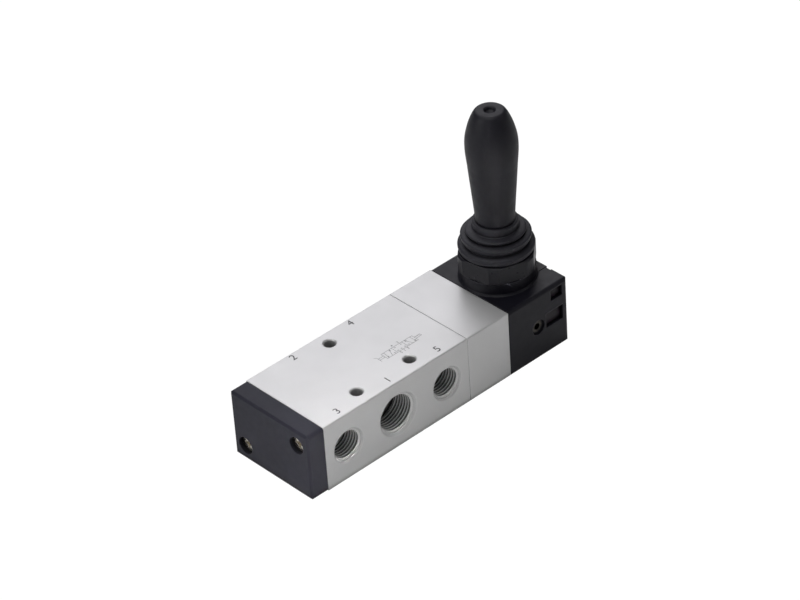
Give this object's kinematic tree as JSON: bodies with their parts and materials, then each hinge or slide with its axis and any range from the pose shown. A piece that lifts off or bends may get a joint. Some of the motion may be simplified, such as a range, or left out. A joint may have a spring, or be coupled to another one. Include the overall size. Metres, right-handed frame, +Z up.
{
  "type": "hand lever air valve",
  "caption": "Row-shaped pneumatic spool valve with threaded ports on both sides and an upright hand lever over a bellows at one end.",
  "frame": {"origin": "centre of the row of blocks on the underside, the mounting face", "axes": "+X along the row towards the lever, +Y towards ports 2 and 4, +Z up along the lever at rest"},
  "size_m": [0.1324, 0.042, 0.1024],
  "materials": {
    "cap_grey": "satin charcoal paint",
    "seal_rubber": "matte",
    "yellow_zinc": "yellow zinc plate",
    "body_aluminium": "satin anodised",
    "ptfe": "matte",
    "steel": "bright",
    "black_plastic": "fine moulded grain",
    "pin_steel": "browned by heat treatment",
    "nut_plastic": "satin black",
    "bellows_rubber": "matte",
    "brass": "turned",
    "grip_plastic": "satin",
    "spool_aluminium": "turned"
  },
  "bodies": {
    "valve": {"end_cap": "cap_grey", "cap_gasket": "seal_rubber", "end_cap_screws": "yellow_zinc", "valve_body": "body_aluminium", "block_gasket": "seal_rubber", "detent_block": "body_aluminium", "detent_cage": "ptfe", "detent_balls": "steel", "detent_ring": "steel", "lever_housing": "black_plastic", "rear_cover": "black_plastic", "housing_screws": "steel", "fulcrum_pin": "pin_steel", "spacer_bushes": "ptfe", "hex_nut": "nut_plastic", "bellows": "bellows_rubber"},
    "lever": {"lever_rod": "steel", "grip_insert": "brass", "grip": "grip_plastic"},
    "spool_set": {"spool": "spool_aluminium", "spool_seals": "seal_rubber", "wear_rings": "ptfe", "drive_yoke": "steel", "drive_pin": "pin_steel"}
  },
  "joints": [
    {"name": "lever_swing", "type": "hinge", "parent": "valve", "child": "lever", "pos_m": [0.0505, 0, 0.0139], "axis": [0, 1, 0], "range_deg": [-13, 13], "deforming": ["bellows"]},
    {"name": "spool_slide", "type": "slide", "parent": "valve", "child": "spool_set", "axis": [1, 0, 0], "range_m": [-0.0028, 0.0028]}
  ],
  "couplings": [
    {"joint": "spool_slide", "follows": "lever_swing", "m_per_rad": 0.01215}
  ]
}
